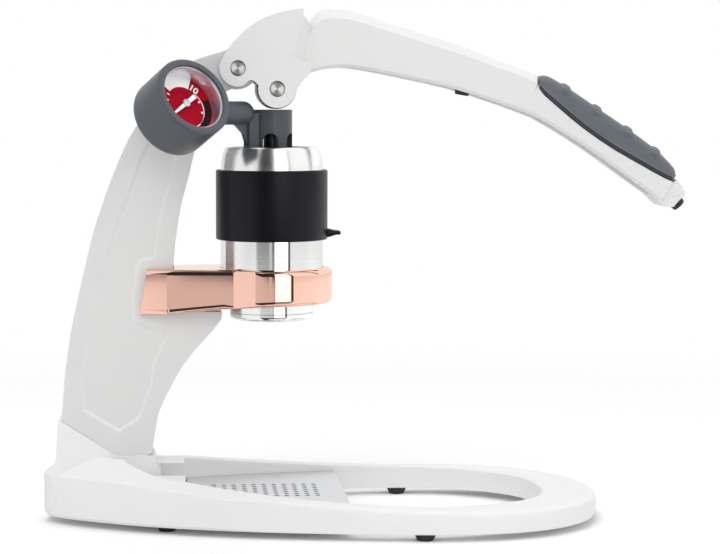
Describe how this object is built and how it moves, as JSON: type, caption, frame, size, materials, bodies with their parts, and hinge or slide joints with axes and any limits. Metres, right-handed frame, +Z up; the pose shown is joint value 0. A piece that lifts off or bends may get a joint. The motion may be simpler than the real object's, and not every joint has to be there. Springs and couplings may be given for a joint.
{
  "type": "hand-lever espresso machine",
  "caption": "Free-standing hand-lever espresso machine: a loop-shaped base with a drip tray, a curved post, a ring that holds the brew head, a gauge and a forked press lever.",
  "frame": {"origin": "middle of the overall box in X and Y, on the table under the feet", "axes": "+X forward from the post to the lever's tip, +Y across to the machine's far side, +Z up"},
  "size_m": [0.3165, 0.1332, 0.2492],
  "materials": {
    "cast_white": "satin white enamel on a casting",
    "rubber_grey": "matte dark grey rubber",
    "steel": "plain steel fastener",
    "steel_satin": "satin stainless steel",
    "steel_polished": "polished stainless steel",
    "copper": "polished rose copper plating",
    "seal_black": "black rubber seal",
    "silicone_black": "smooth black silicone",
    "plastic_dark": "dark grey moulded plastic",
    "brass": "plain brass",
    "clear": "clear flat lens",
    "dial_red": "printed red dial",
    "needle_white": "white painted pointer"
  },
  "bodies": {
    "stand": {"base_frame": "cast_white", "foot_pads": "rubber_grey", "foot_screws": "steel", "post": "cast_white", "post_bolt": "steel", "post_washer": "steel", "holder_bracket": "copper", "holder_screws": "steel", "portafilter": "steel_polished", "portafilter_spout": "steel_polished", "filter_screen": "steel_satin", "dispersion_screen": "steel_satin", "brew_cylinder": "steel_polished", "cylinder_gasket": "seal_black", "grip_sleeve": "silicone_black", "fulcrum_bushes": "brass"},
    "drip_tray": {"drip_pan": "steel_satin", "drip_grille": "steel_satin"},
    "plunger": {"piston": "plastic_dark", "piston_seals": "seal_black", "plunger_stem": "plastic_dark", "stem_rod": "steel_satin", "gauge_arm": "plastic_dark", "gauge_housing": "plastic_dark", "gauge_movement": "brass", "gauge_ring": "steel_polished", "gauge_lens": "clear", "gauge_dial": "dial_red"},
    "needle": {"gauge_needle": "needle_white"},
    "fulcrum": {"fulcrum_pin": "steel_polished", "fulcrum_screw": "steel_polished"},
    "lever": {"lever_arm": "cast_white", "grip_pad": "rubber_grey", "end_bumper": "seal_black", "under_bumper": "seal_black", "roller_pin": "steel_polished", "roller_screw": "steel_polished"},
    "roller": {"plunger_roller": "plastic_dark"}
  },
  "joints": [
    {"name": "lever_press", "type": "hinge", "parent": "stand", "child": "fulcrum", "pos_m": [-0.0631, 0, 0.2207], "axis": [0, 1, 0], "range_deg": [0, 26]},
    {"name": "lever_raise", "type": "hinge", "parent": "fulcrum", "child": "lever", "pos_m": [-0.0631, 0, 0.2207], "axis": [0, 1, 0], "range_deg": [-90, 0]},
    {"name": "plunger_slide", "type": "slide", "parent": "stand", "child": "plunger", "axis": [0, 0, 1], "range_m": [-0.0078, 0]},
    {"name": "roller_spin", "type": "hinge", "parent": "lever", "child": "roller", "pos_m": [-0.04422, 0, 0.21083], "axis": [0, 1, 0], "continuous": true},
    {"name": "needle_turn", "type": "hinge", "parent": "plunger", "child": "needle", "pos_m": [-0.09323, -0.03318, 0.19933], "axis": [0.5114, -0.7277, 0.4571], "range_deg": [-270, 0], "stiffness_Nm_per_rad": 0.0002, "springref_deg": 2.86},
    {"name": "tray_lift", "type": "slide", "parent": "stand", "child": "drip_tray", "axis": [0, 0, 1], "range_m": [0, 0.03]}
  ],
  "couplings": [
    {"joint": "plunger_slide", "follows": "lever_press", "m_per_rad": -0.0171}
  ]
}
